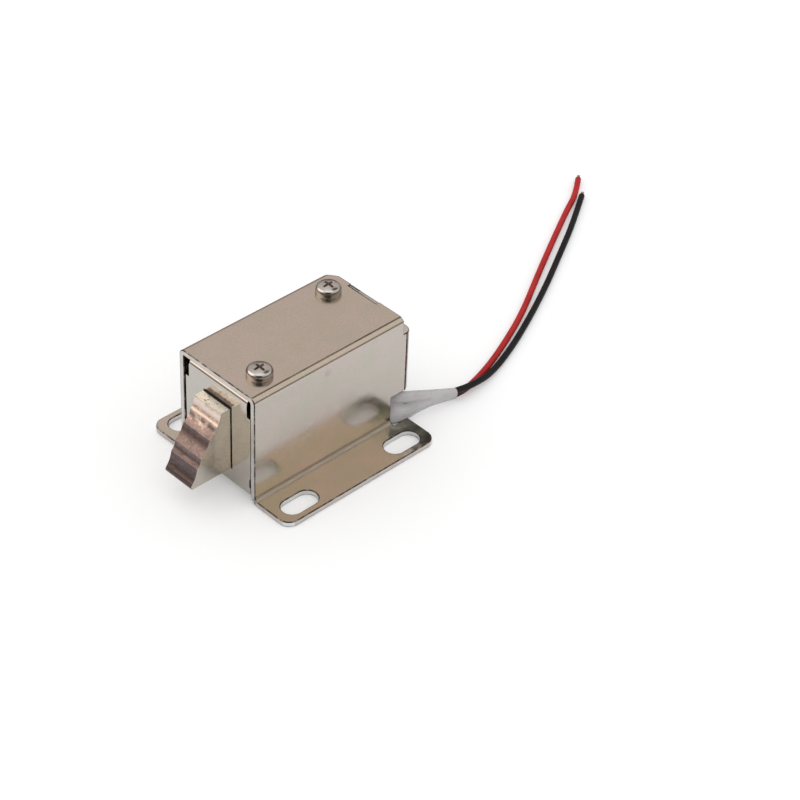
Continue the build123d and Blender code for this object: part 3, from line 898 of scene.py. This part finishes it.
refined(
    "plated_case", "mounting_case", "root",
    [nickel, case_shear, case_crease, slot_wall, case_rim], 0.2,
    zones=[(1, on_case_shear), (2, in_case_crease), (3, on_slot_wall)],
    edge_paint=4, reshape=cut_back_corner,
)
refined("plated_front_frame", "yoke_frame", "root", [front_nickel], 0.12)
refined(
    "rear_plate", "rear_pole_plate", "root", [zinc, shoulder_shade], 0.1,
    zones=[(1, on_shoulder)], reshape=add_shoulder,
)
refined("front_inner_plate", "front_pole_plate", "root", [zinc], 0.08)
refined("riveted_core", "fixed_core", "root", [core_steel], 0.08)
refined(
    "ramped_latch", "latch_bolt", "latch", [flank_paint, ramp_paint, land_paint], 0.12,
    zones=[(1, on_ramp), (2, on_land)],
)
for name, node in (("front_cover_screw", "cover_screw_front"), ("rear_cover_screw", "cover_screw_rear")):
    refined(
        name, node, "root", [screw_plate, screw_side, screw_recess], 0.07,
        zones=[(1, on_screw_side), (2, in_recess(node))],
    )

sleeve = sleeve_mesh("lead_sleeving", sleeve_paint)
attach(sleeve, "root")
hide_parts("lead_sleeve")

spring = spring_mesh("coiled_spring", spring_wire)
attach(spring, "latch")
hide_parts("return_spring")

for colour, route, length, paint in (
    ("red", RED_ROUTE, RED_LENGTH, red_paint),
    ("black", BLACK_ROUTE, BLACK_LENGTH, black_paint),
):
    lead = lead_curve(f"{colour}_lead", route, paint)
    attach(lead, "root")
    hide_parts(f"lead_{colour}")


def white_floor():
    """A white floor that keeps the object's shadow, and that metal sees fade into the room."""
    paint = Paint("floor_white")
    paint.tree.nodes.remove(paint.shader)
    rays = paint.node("ShaderNodeLightPath").outputs
    shade = paint.mix(rays["Is Glossy Ray"], (0.8, 0.8, 0.8), (0.8, 0.83, 0.88))
    matt = paint.node("ShaderNodeBsdfDiffuse", {"Color": shade}).outputs[0]
    lifted = paint.math("MULTIPLY", rays["Is Camera Ray"], FLOOR_LIFT)
    lift = paint.node("ShaderNodeEmission", {"Color": (1, 1, 1, 1), "Strength": lifted}).outputs[0]
    near = paint.node("ShaderNodeAddShader", {0: matt, 1: lift}).outputs[0]
    far = paint.node("ShaderNodeEmission", {"Color": (*DIM_ROOM, 1), "Strength": 1.0}).outputs[0]
    distance = paint.node("ShaderNodeVectorMath", {0: paint.place()}, operation="LENGTH").outputs["Value"]
    fade = paint.math("MULTIPLY", paint.remap(distance, *FLOOR_FADE, 0.0, 1.0), rays["Is Glossy Ray"])
    mixed = paint.node("ShaderNodeMixShader", {0: fade, 1: near, 2: far}).outputs[0]
    paint.tree.links.new(mixed, paint.tree.nodes["Material Output"].inputs["Surface"])
    return paint.block


def studio():
    """An even room, with a studio of soft boxes and dark flags that only gloss shows.

    The boxes are one for the ramp and for the front plate over the land, and one for the flange's image in
    the near wall. The flags are one for the start of the top's near bend, and one behind the camera. Each
    starts and is full at these cosines from its direction.
    """
    paint = Paint("studio", world=True)
    x, y, z = TO_CAMERA
    way = paint.node("ShaderNodeTexCoord").outputs["Generated"]
    height = paint.node("ShaderNodeSeparateXYZ", {0: way}).outputs["Z"]
    sky = paint.ramp(
        paint.remap(height, -0.2, 1.0, 0.0, 1.0),
        [
            (0.2, DIM_ROOM),
            (0.36, (0.24, 0.19, 0.17)),
            (0.5, (0.5, 0.45, 0.43)),
            (0.64, (0.62, 0.565, 0.54)),
            (0.8, (0.66, 0.62, 0.6)),
            (0.91, (0.8, 0.78, 0.76)),
            (0.97, (1.15, 1.12, 1.1)),
        ],
    )
    for towards, starts, full, colour in (
        ((-0.58, 0.548, 0.6), 0.82, 0.95, (1.65, 1.5, 1.4)),
        ((-x, y, z), 0.8, 0.96, (0.75, 0.71, 0.66)),
        ((0.57, 0.1, 0.815), 0.965, 0.99, (0.12, 0.1, 0.08)),
        (TO_CAMERA, 0.88, 0.95, (0.07, 0.06, 0.055)),
    ):
        facing = paint.node("ShaderNodeVectorMath", {0: way, 1: towards}, operation="DOT_PRODUCT")
        share = paint.node(
            "ShaderNodeMapRange",
            {"Value": facing.outputs["Value"], "From Min": starts, "From Max": full},
            interpolation_type="SMOOTHSTEP",
        ).outputs["Result"]
        sky = paint.mix(share, sky, colour)
    mirror = paint.node("ShaderNodeBackground", {"Color": sky, "Strength": 1.0}).outputs[0]
    even = paint.tree.nodes["Background"]
    even.inputs["Color"].default_value = (1, 1, 1, 1)
    even.inputs["Strength"].default_value = 1.0
    gloss = paint.node("ShaderNodeLightPath").outputs["Is Glossy Ray"]
    mixed = paint.node("ShaderNodeMixShader", {0: gloss, 1: even.outputs[0], 2: mirror}).outputs[0]
    paint.tree.links.new(mixed, paint.tree.nodes["World Output"].inputs["Surface"])
    return paint.block


floor_mesh = bpy.data.meshes.new("floor")
corners = [(FLOOR_HALF * x, FLOOR_HALF * y, 0) for x, y in ((-1, -1), (1, -1), (1, 1), (-1, 1))]
floor_mesh.from_pydata(corners, [], [(0, 1, 2, 3)])
floor_mesh.materials.append(white_floor())
floor = new_object("floor", floor_mesh)

bpy.context.scene.world = studio()
bpy.context.scene.view_settings.view_transform = "Standard"

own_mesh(spring)
